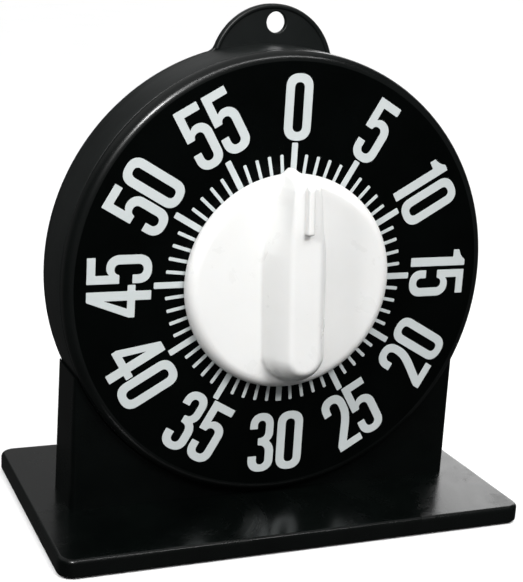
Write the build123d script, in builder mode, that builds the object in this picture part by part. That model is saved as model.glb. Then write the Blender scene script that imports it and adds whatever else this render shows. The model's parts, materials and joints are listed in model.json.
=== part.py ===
from build123d import *
import math
import os

os.makedirs("parts", exist_ok=True)

# ------------------------------------------------------------------
# Large-dial sixty-minute mechanical timer on a stand.  Millimetres, +Z up,
# dial facing -Y.  Origin: middle of the stand's footprint, on the table.
# ------------------------------------------------------------------

# stand
foot_proud = 0.8           # rubber feet stand this far out of the base
base_w = 187.0             # base width, X
base_d = 108.4             # base depth, Y
base_t = 6.7               # base thickness
base_corner_r = 6.0        # plan corner radius of the base
base_edge_r = 1.6          # rounding of the base's top edge
base_y_front = -base_d / 2
base_z0 = foot_proud
base_z1 = foot_proud + base_t

# dial axis
axis_h = 94.8              # height of the dial axis over the table
y_dial = base_y_front + 35.5   # plane of the dial's flat face

# housing drum
dial_r = 85.65             # widest radius of the front cap
dial_edge_r = 4.0          # rounding between dial face and rim
cap_skirt = 5.0            # depth of the front cap's rim
cap_wall = 3.0
drum_r_front = 85.75
drum_r_rear = 86.05
drum_wall = 3.0
drum_depth = 30.0          # dial face to the rear of the back cover
cover_t = 2.5              # rear cover thickness
seam = 0.25                # visible seam between cap and drum

# hanging lug on the rear cover
lug_r = 25.0
lug_x = 0.7                # the lug sits a little off the axis
lug_z = 75.9               # lug circle centre above the dial axis
lug_hole_r = 4.0
lug_hole_x = 1.4
lug_hole_z = 94.0

# upright of the stand
up_front = 5.2             # front of the upright behind the dial face
up_rear = 30.4
up_half_top = 79.4
up_half_bot = 80.2
up_top = -35.4             # height of the upright's shoulders, from the axis
up_wall = 3.0
up_corner_r = 2.5
seat_gap = 0.10            # clearance of the drum in its seat

# knob
knob_r = 41.2
knob_back = 0.9            # gap between the knob and the dial
knob_face = 6.6            # height of the knob's face over the dial
grip_top = 19.6            # height of the grip's top over the dial
grip_foot = 4.0
grip_end_z = -25.45        # centre of the round lower end
grip_levels = [            # height, half width, upper end of the straight sides, half widths at 31, 37.5 and 41.2
    (grip_foot, 12.1, 16.0, 7.1, 5.7, 3.5),
    (9.5, 11.5, 17.0, 6.9, 5.65, 3.4),
    (14.0, 9.7, 20.0, 6.6, 5.6, 3.3),
    (18.2, 6.6, 25.0, 6.2, 5.5, 3.1),
    (grip_top, 5.95, 26.0, 5.85, 5.3, 2.9),
]
fin_w = 2.6                # raised pointer fin on the grip
fin_top = 22.6
fin_z0 = 22.0
knob_rest = -3.0           # at rest the pointer stops this far before the 0 mark, degrees about +Y
tip_z = 43.4               # pointer tip, from the axis

# main arbor
arbor_r = 3.0
run = 0.05                 # radial running clearance

# movement, depths are measured from the dial face
fp_y0, fp_y1 = 6.5, 7.7    # front movement plate
rp_y0, rp_y1 = 21.0, 22.2  # rear movement plate
plate_x0, plate_x1 = -36.0, 36.0
plate_z0, plate_z1 = -21.5, 44.5
pillar_xz = [(-32.0, -17.0), (32.0, -17.0), (-32.0, 40.5), (14.5, 41.4)]
stud_xz = [(-31.0, -8.5), (31.0, -8.0), (-5.0, 41.0), (32.5, 41.0)]

# wheel train: wheel teeth, pinion leaves, modules
m1, n1w, n1p = 0.55, 88, 11
m2, n2w, n2p = 0.50, 70, 10
m3, n3w, n3p = 0.45, 60, 10
shift = 0.4                # profile shift, plus on pinions and minus on wheels
backlash = 0.10
c1 = m1 * (n1w + n1p) / 2
c2 = m2 * (n2w + n2p) / 2
c3 = m3 * (n3w + n3p) / 2
d1, d2, d3 = 125.0, 15.0, -10.0      # directions of the lines of centres
A1 = (0.0, 0.0)
A2 = (A1[0] + c1 * math.cos(math.radians(d1)), A1[1] + c1 * math.sin(math.radians(d1)))
A3 = (A2[0] + c2 * math.cos(math.radians(d2)), A2[1] + c2 * math.sin(math.radians(d2)))
A4 = (A3[0] + c3 * math.cos(math.radians(d3)), A3[1] + c3 * math.sin(math.radians(d3)))
pal_dir = 40.0
A5 = (A4[0] + 10.2 * math.cos(math.radians(pal_dir)), A4[1] + 10.2 * math.sin(math.radians(pal_dir)))
esc_teeth = 15
esc_r = 7.5

# depths of the wheels
gw_y0, gw_y1 = 15.2, 16.4      # great wheel
p2_y0, p2_y1 = 14.8, 16.8      # second pinion
w2_y0, w2_y1 = 17.6, 18.5      # second wheel
p3_y0, p3_y1 = 17.2, 18.9
w3_y0, w3_y1 = 12.6, 13.4
p4_y0, p4_y1 = 12.2, 13.8
ew_y0, ew_y1 = 17.8, 18.5
cam_y0, cam_y1 = 19.2, 20.4
cam_r = 9.0

# bell and hammer
bell_c = (0.0, -53.0)
bell_r = 25.0
ham_c = (22.0, -15.0)
ham_head = (bell_c[0] + 30.0 * math.cos(math.radians(20)), bell_c[1] + 30.0 * math.sin(math.radians(20)))


def front_plane(d):
    """Plane parallel to the dial, d behind its face: local x = X, local y = Z, normal -Y."""
    return Plane(origin=(0, y_dial + d, axis_h), x_dir=(1, 0, 0), z_dir=(0, -1, 0))


def half_plane():
    """Plane through the dial axis for turned parts: local x = radius, local y = depth."""
    return Plane(origin=(0, y_dial, axis_h), x_dir=(1, 0, 0), z_dir=(0, 0, 1))


def shifted_half_plane(c):
    return Plane(origin=(c[0], y_dial, axis_h + c[1]), x_dir=(1, 0, 0), z_dir=(0, 0, 1))


dial_axis = Axis((0, y_dial, axis_h), (0, 1, 0))


def axis_at(c):
    return Axis((c[0], y_dial, axis_h + c[1]), (0, 1, 0))


def save(part, name):
    part.label = name
    export_step(part, "parts/" + name + ".step")


# ------------------------------------------------------------------
# Gear outlines
# ------------------------------------------------------------------
def inv(a):
    return math.tan(a) - a


def gear_outline(n, m, x, back, phase_deg, centre):
    """Closed involute outline, tooth centre at phase_deg, flanks as short chords."""
    al = math.radians(20)
    r = m * n / 2
    rb = r * math.cos(al)
    ra = r + m * (1 + x)
    rf = r - m * (1.25 - x)
    s = m * (math.pi / 2 + 2 * x * math.tan(al)) - back
    half = s / (2 * r) + inv(al)

    def h(rho):
        if rho <= rb:
            return half
        return half - inv(math.acos(rb / rho))

    lo = max(rb, rf)
    radii = [rf] + ([] if rf >= rb else [rb]) + [lo + (ra - lo) * k / 4 for k in range(1, 5)]
    pts = []
    for k in range(n):
        t0 = math.radians(phase_deg) + 2 * math.pi * k / n
        for rho in radii:
            a = t0 - h(rho)
            pts.append((centre[0] + rho * math.cos(a), centre[1] + rho * math.sin(a)))
        for rho in reversed(radii):
            a = t0 + h(rho)
            pts.append((centre[0] + rho * math.cos(a), centre[1] + rho * math.sin(a)))
    return pts


def mesh_phase(na, pa, nb, d):
    """Tooth phase of gear b, in direction d from gear a, so that b's gap faces a's tooth."""
    u = (d - pa) / (360.0 / na)
    v = 0.5 - u
    return d + 180.0 - v * (360.0 / nb)


ph_gw = 0.0
ph_p2 = mesh_phase(n1w, ph_gw, n1p, d1)
ph_w2 = 0.0
ph_p3 = mesh_phase(n2w, ph_w2, n2p, d2)
ph_w3 = 0.0
ph_p4 = mesh_phase(n3w, ph_w3, n3p, d3)

# ------------------------------------------------------------------
# Base plate: rounded slab with a shallow relief underneath
# ------------------------------------------------------------------
foot_xy = [(sx * (base_w / 2 - 13.5), sy * (base_d / 2 - 13.6)) for sx in (-1, 1) for sy in (-1, 1)]
up_mid_y = y_dial + (up_front + up_rear) / 2
base_screw_xy = [(-71.0, up_mid_y), (-58.0, up_mid_y), (58.0, up_mid_y), (71.0, up_mid_y)]

with BuildPart() as base_plate:
    with BuildSketch(Plane.XY.offset(base_z0)):
        RectangleRounded(base_w, base_d, base_corner_r)
    extrude(amount=base_t)
    fillet(base_plate.edges().group_by(Axis.Z)[-1], radius=base_edge_r)
    fillet(base_plate.edges().group_by(Axis.Z)[0], radius=0.6)
    with BuildSketch(Plane.XY.offset(base_z0)):
        RectangleRounded(base_w - 44, base_d - 44, 5)
    extrude(amount=1.2, mode=Mode.SUBTRACT)
    with BuildSketch(Plane.XY.offset(base_z0)):
        with Locations(*foot_xy):
            Circle(7.05)
    extrude(amount=1.4, mode=Mode.SUBTRACT)
    with BuildSketch(Plane.XY.offset(base_z0)):
        with Locations(*base_screw_xy):
            Circle(1.7)
    extrude(amount=base_t, mode=Mode.SUBTRACT)
    with BuildSketch(Plane.XY.offset(base_z0)):
        with Locations(*base_screw_xy):
            Circle(3.4)
    extrude(amount=3.4, mode=Mode.SUBTRACT)
save(base_plate.part, "base_plate")

with BuildPart() as rubber_feet:
    with BuildSketch(Plane.XY.offset(0)):
        with Locations(*foot_xy):
            Circle(6.9)
    extrude(amount=foot_proud + 1.4)
    fillet(rubber_feet.edges().group_by(Axis.Z)[0], radius=0.5)
save(rubber_feet.part, "rubber_feet")

# ------------------------------------------------------------------
# Upright: hollow box with a round seat for the drum, bosses for screws
# ------------------------------------------------------------------
up_bot = base_z1 - axis_h          # underside of the upright, from the axis
seat_r = drum_r_rear + seat_gap
cradle_ang = 32.0


def cradle_plane(sgn, r):
    """Plane across the cradle screw at radius r; its normal points away from the dial axis."""
    a = math.radians(cradle_ang)
    n = (sgn * math.sin(a), 0, -math.cos(a))
    return Plane(origin=(n[0] * r, up_mid_y, axis_h + n[2] * r), x_dir=(0, 1, 0), z_dir=n)


with BuildPart() as stand_upright:
    with BuildSketch(front_plane(up_rear)):
        with BuildLine():
            Polyline((-up_half_bot, up_bot), (up_half_bot, up_bot), (up_half_top, up_top),
                     (-up_half_top, up_top), close=True)
        make_face()
    extrude(amount=up_rear - up_front)
    with BuildSketch(front_plane(up_rear + 1)):
        Circle(seat_r)
    extrude(amount=up_rear - up_front + 2, mode=Mode.SUBTRACT)
    # rounded upright corners
    fillet(stand_upright.edges().filter_by(lambda e: abs(abs(e.center().X) - (up_half_bot + up_half_top) / 2) < 2.5
                                           and abs(e.tangent_at(0.5).Z) > 0.9 and e.length > 30), radius=up_corner_r)
    # hollow, open at the bottom
    with BuildSketch(front_plane(up_rear - up_wall)):
        with BuildLine():
            Polyline((-up_half_bot + up_wall, up_bot), (up_half_bot - up_wall, up_bot),
                     (up_half_top - up_wall - 0.3, up_top), (-up_half_top + up_wall + 0.3, up_top), close=True)
        make_face()
        Circle(seat_r + up_wall, mode=Mode.SUBTRACT)
    extrude(amount=up_rear - up_front - 2 * up_wall, mode=Mode.SUBTRACT)
    # bosses for the base screws, and pads behind the seat for the cradle screws
    for bx, by in base_screw_xy:
        z_seat = -math.sqrt((seat_r + 1.0) ** 2 - bx ** 2)
        with BuildSketch(Plane.XY.offset(base_z1)):
            with Locations((bx, by)):
                Circle(3.6)
        extrude(amount=(axis_h + z_seat) - base_z1)
    with BuildSketch(front_plane(up_rear + 1)):
        Circle(seat_r)
    extrude(amount=up_rear - up_front + 2, mode=Mode.SUBTRACT)
    with BuildSketch(Plane.XY.offset(base_z1)):
        with Locations(*base_screw_xy):
            Circle(1.25)
    extrude(amount=11.0, mode=Mode.SUBTRACT)
    for sgn in (-1, 1):
        with BuildSketch(cradle_plane(sgn, seat_r - 2)):
            Circle(1.8)
        extrude(amount=8.0, mode=Mode.SUBTRACT)
save(stand_upright.part, "stand_upright")

# four screws from below, through the base into the upright
with BuildPart() as base_screws:
    for bx, by in base_screw_xy:
        with BuildSketch(Plane.XY.offset(base_z0 + 1.3)):
            with Locations((bx, by)):
                Circle(3.0)
        extrude(amount=2.1)
        with BuildSketch(Plane.XY.offset(base_z0 + 3.4)):
            with Locations((bx, by)):
                Circle(1.25)
        extrude(amount=base_t - 3.4 + 9.5)
        with BuildSketch(Plane.XY.offset(base_z0 + 1.3)):
            with Locations((bx, by)):
                Rectangle(4.2, 0.8)
                Rectangle(0.8, 4.2)
        extrude(amount=1.2, mode=Mode.SUBTRACT)
save(base_screws.part, "base_screws")

# ------------------------------------------------------------------
# Front cap: dial face, rounded edge, short rim with an inner spigot
# ------------------------------------------------------------------
cap_boss_r = 3.4
cap_screw_xz = [(76.2 * math.cos(math.radians(a)), 76.2 * math.sin(math.radians(a))) for a in (45, 135, 225, 315)]
spigot_r = drum_r_front - drum_wall - 0.15
bush_r = 6.0
bell_post_r = 3.0

with BuildPart() as front_cap:
    with BuildSketch(half_plane()):
        with BuildLine():
            Polyline((bush_r, 0), (dial_r - dial_edge_r, 0))
            CenterArc((dial_r - dial_edge_r, dial_edge_r), dial_edge_r, 270, 90)
            Polyline((dial_r, dial_edge_r), (dial_r + 0.02, cap_skirt), (spigot_r, cap_skirt),
                     (spigot_r, cap_skirt + 4.0), (spigot_r - 2.2, cap_skirt + 4.0),
                     (spigot_r - 2.2, cap_wall), (bush_r, cap_wall), (bush_r, 0))
        make_face()
    revolve(axis=dial_axis)
    # studs for the movement, the bell post and the drum screws
    with BuildSketch(front_plane(fp_y0)):
        with Locations(*stud_xz):
            Circle(3.2)
    extrude(amount=fp_y0 - cap_wall + 0.4)
    with BuildSketch(front_plane(cap_wall + 4.0)):
        with Locations(bell_c):
            Circle(4.6)
    extrude(amount=4.4)
    with BuildSketch(front_plane(fp_y0)):
        with Locations(*stud_xz):
            Circle(1.1)
    extrude(amount=4.4, mode=Mode.SUBTRACT)
    with BuildSketch(front_plane(cap_wall + 4.0)):
        with Locations(bell_c):
            Circle(bell_post_r)
    extrude(amount=4.6, mode=Mode.SUBTRACT)
save(front_cap.part, "front_cap")

# ------------------------------------------------------------------
# Drum shell: the round side wall, with screw pillars inside
# ------------------------------------------------------------------
cover_y0 = drum_depth - cover_t
ds_y0 = cap_skirt + seam
with BuildPart() as drum_shell:
    with BuildSketch(half_plane()):
        with BuildLine():
            Polyline((drum_r_front - drum_wall, ds_y0), (drum_r_front - 0.5, ds_y0), (drum_r_front, ds_y0 + 0.5),
                     (drum_r_rear, cover_y0), (drum_r_rear - drum_wall, cover_y0), close=True)
        make_face()
    revolve(axis=dial_axis)
    # screw pillars along the wall
    with BuildSketch(front_plane(cover_y0)):
        with Locations(*cap_screw_xz):
            Circle(cap_boss_r)
        for x, z in cap_screw_xz:
            k = 80.2 / 76.2
            with Locations(Location((x * k, z * k, 0), (0, 0, math.degrees(math.atan2(z, x))))):
                Rectangle(8.0, 4.0)
    extrude(amount=cover_y0 - (cap_skirt + 4.6))
    # pads for the cradle screws
    for sgn in (-1, 1):
        with BuildSketch(cradle_plane(sgn, 76.5)):
            Circle(4.2)
        extrude(amount=7.5)
    with BuildSketch(front_plane(cover_y0)):
        with Locations(*cap_screw_xz):
            Circle(1.25)
    extrude(amount=12.0, mode=Mode.SUBTRACT)
    for sgn in (-1, 1):
        with BuildSketch(cradle_plane(sgn, 77.5)):
            Circle(1.45)
        extrude(amount=12.0, mode=Mode.SUBTRACT)
save(drum_shell.part, "drum_shell")

# two screws from inside the upright, through its seat into the drum
with BuildPart() as cradle_screws:
    for sgn in (-1, 1):
        with BuildSketch(cradle_plane(sgn, seat_r + up_wall)):
            Circle(3.2)
        extrude(amount=2.2)
        with BuildSketch(cradle_plane(sgn, 78.2)):
            Circle(1.45)
        extrude(amount=seat_r + up_wall - 78.2)
        with BuildSketch(cradle_plane(sgn, seat_r + up_wall + 1.0)):
            Rectangle(4.4, 0.8)
            Rectangle(0.8, 4.4)
        extrude(amount=1.4, mode=Mode.SUBTRACT)
save(cradle_screws.part, "cradle_screws")

# ------------------------------------------------------------------
# Rear cover with the hanging lug
# ------------------------------------------------------------------
with BuildPart() as rear_cover:
    with BuildSketch(front_plane(drum_depth)):
        Circle(drum_r_rear)
        with Locations((lug_x, lug_z)):
            Circle(lug_r)
    extrude(amount=cover_t)
    # blend between lug and rim
    fillet(rear_cover.edges().filter_by(lambda e: abs(e.tangent_at(0.5).Y) > 0.9 and abs(e.length - cover_t) < 0.05
                                        and e.center().Z > axis_h + 60), radius=4.0)
    # locating rib inside the drum
    with BuildSketch(front_plane(cover_y0)):
        Circle(drum_r_rear - drum_wall - 0.2)
        Circle(drum_r_rear - drum_wall - 2.2, mode=Mode.SUBTRACT)
        with Locations(*cap_screw_xz):
            Circle(5.2, mode=Mode.SUBTRACT)
            Rectangle(14, 14, mode=Mode.SUBTRACT)
    extrude(amount=1.6)
    # raised bead round the lug
    with BuildSketch(front_plane(cover_y0)):
        with Locations((lug_x, lug_z)):
            Circle(lug_r)
            Circle(lug_r - 1.7, mode=Mode.SUBTRACT)
        Circle(drum_r_rear + 0.4, mode=Mode.SUBTRACT)
    extrude(amount=0.7)
    with BuildSketch(front_plane(drum_depth)):
        with Locations((lug_hole_x, lug_hole_z)):
            Circle(lug_hole_r)
        with Locations(*cap_screw_xz):
            Circle(1.7)
    extrude(amount=cover_t + 2, mode=Mode.SUBTRACT)
    # sound slots for the bell
    with BuildSketch(front_plane(drum_depth)):
        with Locations(bell_c):
            with GridLocations(5.0, 0, 5, 1):
                SlotOverall(22.0, 2.2, rotation=90)
    extrude(amount=cover_t, mode=Mode.SUBTRACT)
save(rear_cover.part, "rear_cover")

with BuildPart() as rear_cover_screws:
    with BuildSketch(front_plane(drum_depth + 1.6)):
        with Locations(*cap_screw_xz):
            Circle(2.8)
    extrude(amount=1.6)
    fillet(rear_cover_screws.edges().group_by(Axis.Y)[-1], radius=0.7)
    with BuildSketch(front_plane(drum_depth)):
        with Locations(*cap_screw_xz):
            Circle(1.25)
    extrude(amount=12.0)
    with BuildSketch(front_plane(drum_depth + 1.7)):
        with Locations(*cap_screw_xz):
            Rectangle(3.6, 0.7)
            Rectangle(0.7, 3.6)
    extrude(amount=1.0, mode=Mode.SUBTRACT)
save(rear_cover_screws.part, "rear_cover_screws")

# bush for the knob shaft in the front cap
with BuildPart() as dial_bush:
    with BuildSketch(half_plane()):
        with BuildLine():
            Polyline((arbor_r + run, -0.3), (bush_r, -0.3), (bush_r, cap_wall), (8.0, cap_wall), (8.0, cap_wall + 1.2),
                     (arbor_r + run, cap_wall + 1.2), close=True)
        make_face()
    revolve(axis=dial_axis)
save(dial_bush.part, "dial_bush")

# ------------------------------------------------------------------
# Movement plates, pillars, nuts, screws
# ------------------------------------------------------------------
px, pz = (plate_x0 + plate_x1) / 2, (plate_z0 + plate_z1) / 2
piv = 0.6                    # wheel pivots
piv_hole = piv + run
holes = [A2, A3, A4, A5, ham_c]
sp_r0, sp_r1 = 5.2, 12.6     # mainspring, inner and outer coil
sp_end = 200.0               # direction of its anchor post
post_c = (sp_r1 * math.cos(math.radians(sp_end)), sp_r1 * math.sin(math.radians(sp_end)))

with BuildPart() as movement_front_plate:
    with BuildSketch(front_plane(fp_y1)):
        with Locations((px, pz)):
            RectangleRounded(plate_x1 - plate_x0, plate_z1 - plate_z0, 4)
        Circle(arbor_r + run, mode=Mode.SUBTRACT)
        with Locations(*holes):
            Circle(piv_hole, mode=Mode.SUBTRACT)
        with Locations(*stud_xz):
            Circle(1.4, mode=Mode.SUBTRACT)
        with Locations(*pillar_xz):
            Circle(1.5, mode=Mode.SUBTRACT)
        with Locations(post_c):
            Circle(0.9, mode=Mode.SUBTRACT)
    extrude(amount=fp_y1 - fp_y0)
save(movement_front_plate.part, "movement_front_plate")

with BuildPart() as movement_rear_plate:
    with BuildSketch(front_plane(rp_y1)):
        with Locations((px, pz)):
            RectangleRounded(plate_x1 - plate_x0, plate_z1 - plate_z0, 4)
        Circle(arbor_r - 0.5 + run, mode=Mode.SUBTRACT)
        with Locations(*holes):
            Circle(piv_hole, mode=Mode.SUBTRACT)
        with Locations(*pillar_xz):
            Circle(1.5, mode=Mode.SUBTRACT)
        # access cut-outs over the screws of the front plate
        with Locations(*stud_xz):
            Circle(3.2, mode=Mode.SUBTRACT)
        with Locations((-18.5, 8.0)):
            Ellipse(6.5, 9.0, mode=Mode.SUBTRACT)
    extrude(amount=rp_y1 - rp_y0)
save(movement_rear_plate.part, "movement_rear_plate")

with BuildPart() as pillars:
    for x, z in pillar_xz:
        with BuildSketch(shifted_half_plane((x, z))):
            with BuildLine():
                Polyline((0, fp_y0 - 0.4), (1.5, fp_y0 - 0.4), (1.5, fp_y1), (2.5, fp_y1), (2.5, rp_y0),
                         (1.5, rp_y0), (1.5, rp_y1 + 2.2), (0, rp_y1 + 2.2), close=True)
            make_face()
        revolve(axis=axis_at((x, z)))
save(pillars.part, "pillars")

with BuildPart() as pillar_nuts:
    with BuildSketch(front_plane(rp_y1 + 1.8)):
        with Locations(*pillar_xz):
            RegularPolygon(radius=2.9, side_count=6)
            Circle(1.5, mode=Mode.SUBTRACT)
    extrude(amount=1.8)
save(pillar_nuts.part, "pillar_nuts")

with BuildPart() as movement_screws:
    with BuildSketch(front_plane(fp_y1 + 1.5)):
        with Locations(*stud_xz):
            Circle(2.4)
    extrude(amount=1.5)
    with BuildSketch(front_plane(fp_y1)):
        with Locations(*stud_xz):
            Circle(1.1)
    extrude(amount=4.6)
    with BuildSketch(front_plane(fp_y1 + 1.5)):
        with Locations(*stud_xz):
            Rectangle(5.2, 0.6)
    extrude(amount=0.8, mode=Mode.SUBTRACT)
save(movement_screws.part, "movement_screws")

# ------------------------------------------------------------------
# Knob body: knob, arbor, great wheel, friction spring, collar, strike cam, clip
# ------------------------------------------------------------------
flat = 2.1                   # distance of the arbor's flat from its axis
arbor_front = -14.0
with BuildPart() as main_arbor:
    with BuildSketch(half_plane()):
        with BuildLine():
            Polyline((0, arbor_front), (arbor_r - 0.4, arbor_front), (arbor_r, arbor_front + 0.4), (arbor_r, rp_y0 - 0.15),
                     (arbor_r - 0.5, rp_y0 - 0.15), (arbor_r - 0.5, rp_y1 + 1.6), (0, rp_y1 + 1.6), close=True)
        make_face()
    revolve(axis=dial_axis)
    # shoulder that the great wheel rides on
    with BuildSketch(front_plane(gw_y0)):
        Circle(4.6)
    extrude(amount=1.0)
    # flat for the knob
    with BuildSketch(front_plane(-knob_back)):
        with Locations((0, flat + 2)):
            Rectangle(8, 4)
    extrude(amount=20, mode=Mode.SUBTRACT)
save(main_arbor.part, "main_arbor")


def grip_outline(half, shoulder_z, waist, neck, tip_half):
    """Plan of the grip at one height: round lower end, straight sides, tapering to the pointer."""
    with BuildLine() as plan:
        ThreePointArc((half, grip_end_z), (0, grip_end_z - half), (-half, grip_end_z))
        Polyline((-half, grip_end_z), (-half, shoulder_z), (-waist, 31.0), (-neck, 37.5), (-tip_half, 41.2), (-1.0, 42.8),
                 (1.0, 42.8), (tip_half, 41.2), (neck, 37.5), (waist, 31.0), (half, shoulder_z), (half, grip_end_z))
    return plan.line


# the grip's flanks are steep at the foot and lean in towards the top
with BuildPart() as grip_block:
    for h, half, shoulder_z, waist, neck, tip_half in grip_levels:
        with BuildSketch(front_plane(-h)):
            add(grip_outline(half, shoulder_z, waist, neck, tip_half))
            make_face()
    loft(ruled=True)
    # the end face falls away steeply to the pointer
    with BuildSketch(Plane.YZ.offset(-30)):
        with BuildLine():
            Polyline((y_dial - grip_top - 1, axis_h + 38.8), (y_dial - grip_top, axis_h + 38.8),
                     (y_dial - grip_top + 0.8, axis_h + 40.2), (y_dial - 12.0, axis_h + 42.0), (y_dial - 6.0, axis_h + 42.7),
                     (y_dial - 4.0, axis_h + 46.0), (y_dial - grip_top - 1, axis_h + 46.0), close=True)
        make_face()
    extrude(amount=60, mode=Mode.SUBTRACT)
    # pointer fin along the middle, from the top down to the tip
    with BuildSketch(Plane.YZ.offset(-fin_w / 2)):
        with BuildLine():
            Polyline((y_dial - 12.0, axis_h + fin_z0), (y_dial - fin_top, axis_h + fin_z0), (y_dial - fin_top, axis_h + 38.6),
                     (y_dial - fin_top + 1.2, axis_h + 39.9), (y_dial - 12.0, axis_h + 42.3), (y_dial - 5.0, axis_h + tip_z - 0.4),
                     (y_dial - 4.0, axis_h + 40.0), close=True)
        make_face()
    extrude(amount=fin_w)
    # nib past the rim
    with BuildSketch(front_plane(-knob_back)):
        with BuildLine():
            Polyline((-3.2, 38.0), (3.2, 38.0), (2.9, 41.0), (0.5, tip_z), (-0.5, tip_z), (-2.9, 41.0), close=True)
        make_face()
    extrude(amount=grip_foot + 1.2 - knob_back)

with BuildPart() as knob:
    with BuildSketch(half_plane()):
        with BuildLine():
            Polyline((0, -knob_back), (knob_r - 1.0, -knob_back), (knob_r, -knob_back - 1.0), (knob_r, -knob_back - 1.6))
            Spline((knob_r, -knob_back - 1.6), (knob_r - 0.9, -4.6), (knob_r - 4.6, -knob_face),
                   tangents=[(0, -1), (-1, -0.02)])
            Polyline((knob_r - 4.6, -knob_face), (12.0, -knob_face + 0.3), (0, -knob_face + 0.3), (0, -knob_back))
        make_face()
    revolve(axis=dial_axis)
    add(grip_block.part.rotate(dial_axis, knob_rest))
    # hollow underside: ring-shaped relief round the hub, with four ribs
    with BuildSketch(front_plane(-knob_back)):
        Circle(knob_r - 4.5)
        Circle(9.0, mode=Mode.SUBTRACT)
        Rectangle(2.2, 2 * knob_r, mode=Mode.SUBTRACT)
        Rectangle(2 * knob_r, 2.2, mode=Mode.SUBTRACT)
    extrude(amount=3.2, mode=Mode.SUBTRACT)
    # D-shaped bore for the arbor
    with BuildSketch(front_plane(-knob_back)):
        Circle(arbor_r)
        with Locations((0, flat + 2)):
            Rectangle(8, 4, mode=Mode.SUBTRACT)
    extrude(amount=-arbor_front - knob_back + 0.5, mode=Mode.SUBTRACT)
save(knob.part, "knob")
print("knob solids", len(knob.part.solids()), round(knob.part.volume))

with BuildPart() as great_wheel:
    with BuildSketch(front_plane(gw_y1)):
        with BuildLine():
            Polyline(*gear_outline(n1w, m1, -shift, backlash, ph_gw, A1), close=True)
        make_face()
        Circle(arbor_r, mode=Mode.SUBTRACT)
        with PolarLocations(14.0, 5, start_angle=36):
            Circle(5.2, mode=Mode.SUBTRACT)
    extrude(amount=gw_y1 - gw_y0)
save(great_wheel.part, "great_wheel")

# dished friction spring that lets the knob be set without turning the train
with BuildPart() as clutch_spring:
    with BuildSketch(half_plane()):
        with BuildLine():
            Polyline((arbor_r, 17.1), (4.6, 17.1), (7.4, gw_y1), (7.8, gw_y1), (7.8, gw_y1 + 0.25), (4.8, 17.4),
                     (arbor_r, 17.4), close=True)
        make_face()
    revolve(axis=dial_axis)
    with BuildSketch(front_plane(18.0)):
        with PolarLocations(6.9, 3):
            Rectangle(3.0, 2.0, mode=Mode.ADD)
    extrude(amount=2.0, mode=Mode.SUBTRACT)
save(clutch_spring.part, "clutch_spring")

with BuildPart() as clutch_collar:
    with BuildSketch(front_plane(cam_y0)):
        Circle(4.8)
        Circle(arbor_r, mode=Mode.SUBTRACT)
    extrude(amount=cam_y0 - 17.4)
save(clutch_collar.part, "clutch_collar")

notch = -90.0                # the cam's notch faces down when the knob is at zero
with BuildPart() as strike_cam:
    with BuildSketch(front_plane(cam_y1)):
        Circle(cam_r)
        with Locations((0, -cam_r)):
            Rectangle(9.0, 5.2, mode=Mode.SUBTRACT)
        Circle(arbor_r, mode=Mode.SUBTRACT)
    extrude(amount=cam_y1 - cam_y0)
save(strike_cam.part, "strike_cam")

with BuildPart() as arbor_clip:
    with BuildSketch(front_plane(rp_y1 + 1.0)):
        Circle(4.2)
        Circle(arbor_r - 0.5, mode=Mode.SUBTRACT)
        with Locations((3.2, 0)):
            Rectangle(3.0, 2.0, mode=Mode.SUBTRACT)
    extrude(amount=0.7)
save(arbor_clip.part, "arbor_clip")

# ------------------------------------------------------------------
# Wheel train
# ------------------------------------------------------------------
def arbor(c, name, d0=fp_y1 + 0.2, d1=rp_y0 - 0.2, r=1.0, pinion=None):
    """Arbor with pivots in both plates and, if given, its pinion (y0, y1, leaves, module, phase)."""
    with BuildPart() as a:
        with BuildSketch(shifted_half_plane(c)):
            with BuildLine():
                Polyline((0, fp_y0 - 0.5), (piv, fp_y0 - 0.5), (piv, d0), (r, d0), (r, d1), (piv, d1),
                         (piv, rp_y1 + 0.5), (0, rp_y1 + 0.5), close=True)
            make_face()
        revolve(axis=axis_at(c))
        if pinion:
            y0, y1, n, m, ph = pinion
            with BuildSketch(front_plane(y1)):
                with BuildLine():
                    Polyline(*gear_outline(n, m, shift, backlash, ph, c), close=True)
                make_face()
            extrude(amount=y1 - y0)
    save(a.part, name)
    return a


second_arbor = arbor(A2, "second_arbor", pinion=(p2_y0, p2_y1, n1p, m1, ph_p2))
third_arbor = arbor(A3, "third_arbor", pinion=(p3_y0, p3_y1, n2p, m2, ph_p3))
escape_arbor = arbor(A4, "escape_arbor", pinion=(p4_y0, p4_y1, n3p, m3, ph_p4))
pallet_arbor = arbor(A5, "pallet_arbor", r=0.9)
hammer_arbor = arbor(ham_c, "hammer_arbor", r=1.2)


def train_wheel(c, y0, y1, n, m, ph, spokes, name, bore=1.0):
    with BuildPart() as w:
        r = m * n / 2
        with BuildSketch(front_plane(y1)):
            with BuildLine():
                Polyline(*gear_outline(n, m, -shift, backlash, ph, c), close=True)
            make_face()
            with Locations(c):
                Circle(bore, mode=Mode.SUBTRACT)
                with PolarLocations(r * 0.55, spokes):
                    Circle(r * 0.22, mode=Mode.SUBTRACT)
        extrude(amount=y1 - y0)
        # boss against the wheel, on the arbor
    save(w.part, name)
    return w


second_wheel = train_wheel(A2, w2_y0, w2_y1, n2w, m2, ph_w2, 5, "second_wheel")
third_wheel = train_wheel(A3, w3_y0, w3_y1, n3w, m3, ph_w3, 5, "third_wheel")

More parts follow.
